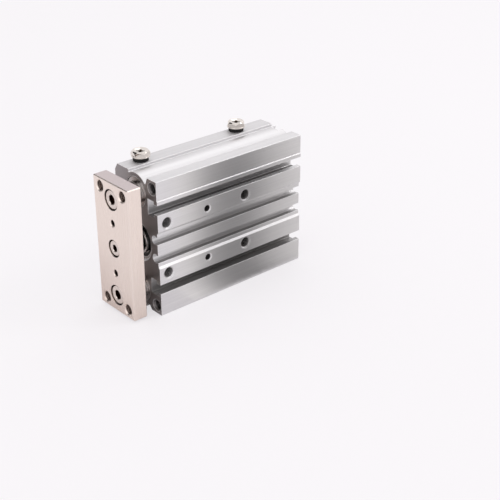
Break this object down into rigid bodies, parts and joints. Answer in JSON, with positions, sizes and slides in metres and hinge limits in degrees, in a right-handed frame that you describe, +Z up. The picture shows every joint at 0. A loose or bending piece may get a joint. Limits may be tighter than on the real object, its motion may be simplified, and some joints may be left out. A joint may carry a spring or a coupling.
{
  "type": "guided pneumatic cylinder",
  "caption": "Compact guided air cylinder: slotted aluminium body with plugged top ports, and a steel end plate carried by a piston rod between sliding guide rods.",
  "frame": {"origin": "middle of the whole part's footprint when retracted, at the body's underside", "axes": "+Z up, +X towards the T-slot side, -Y towards the end plate, so the plate extends along -Y"},
  "size_m": [0.03, 0.096, 0.0687],
  "materials": {
    "anodised_body": "clear anodised, fine lengthwise extrusion lines",
    "cover_aluminium": "turned, clear anodised",
    "plate_nickel": "satin nickel plate on rolled steel",
    "bolt_nickel": "nickel plated",
    "plug_nickel": "bright nickel plated brass",
    "rod_chrome": "ground and hard chromed steel",
    "ball_steel": "polished bearing steel",
    "holder_steel": "pressed steel, zinc plated",
    "black_steel": "black phosphate",
    "bronze": "sintered bronze, oiled",
    "black_rubber": "smooth nitrile",
    "bumper_rubber": "moulded urethane",
    "felt": "oiled wool felt",
    "magnet": "plastic bonded ferrite"
  },
  "bodies": {
    "cylinder_body": {"body": "anodised_body", "passage_ball": "ball_steel", "port_plugs": "plug_nickel", "port_gaskets": "black_rubber", "rod_cover": "cover_aluminium", "rod_bush": "bronze", "rod_seal": "black_rubber", "rod_cover_o_ring": "black_rubber", "front_bumper": "bumper_rubber", "head_cover": "cover_aluminium", "head_cover_o_ring": "black_rubber", "rear_bumper": "bumper_rubber", "front_retaining_ring": "black_steel", "rear_retaining_ring": "black_steel", "front_guide_bearing_upper": "bronze", "front_guide_bearing_lower": "bronze", "inner_guide_bearing_upper": "bronze", "inner_guide_bearing_lower": "bronze", "guide_felt_upper": "felt", "guide_felt_lower": "felt", "felt_holder_upper": "holder_steel", "felt_holder_lower": "holder_steel"},
    "moving_plate": {"plate": "plate_nickel", "guide_rod_upper": "rod_chrome", "guide_rod_lower": "rod_chrome", "guide_rod_bolts": "bolt_nickel", "piston_rod": "rod_chrome", "piston_rod_bolt": "bolt_nickel", "piston": "cover_aluminium", "piston_disc": "cover_aluminium", "piston_magnet": "magnet", "piston_seal": "black_rubber"}
  },
  "joints": [
    {"name": "plate_slide", "type": "slide", "parent": "cylinder_body", "child": "moving_plate", "axis": [0, -1, 0], "range_m": [0, 0.05]}
  ]
}
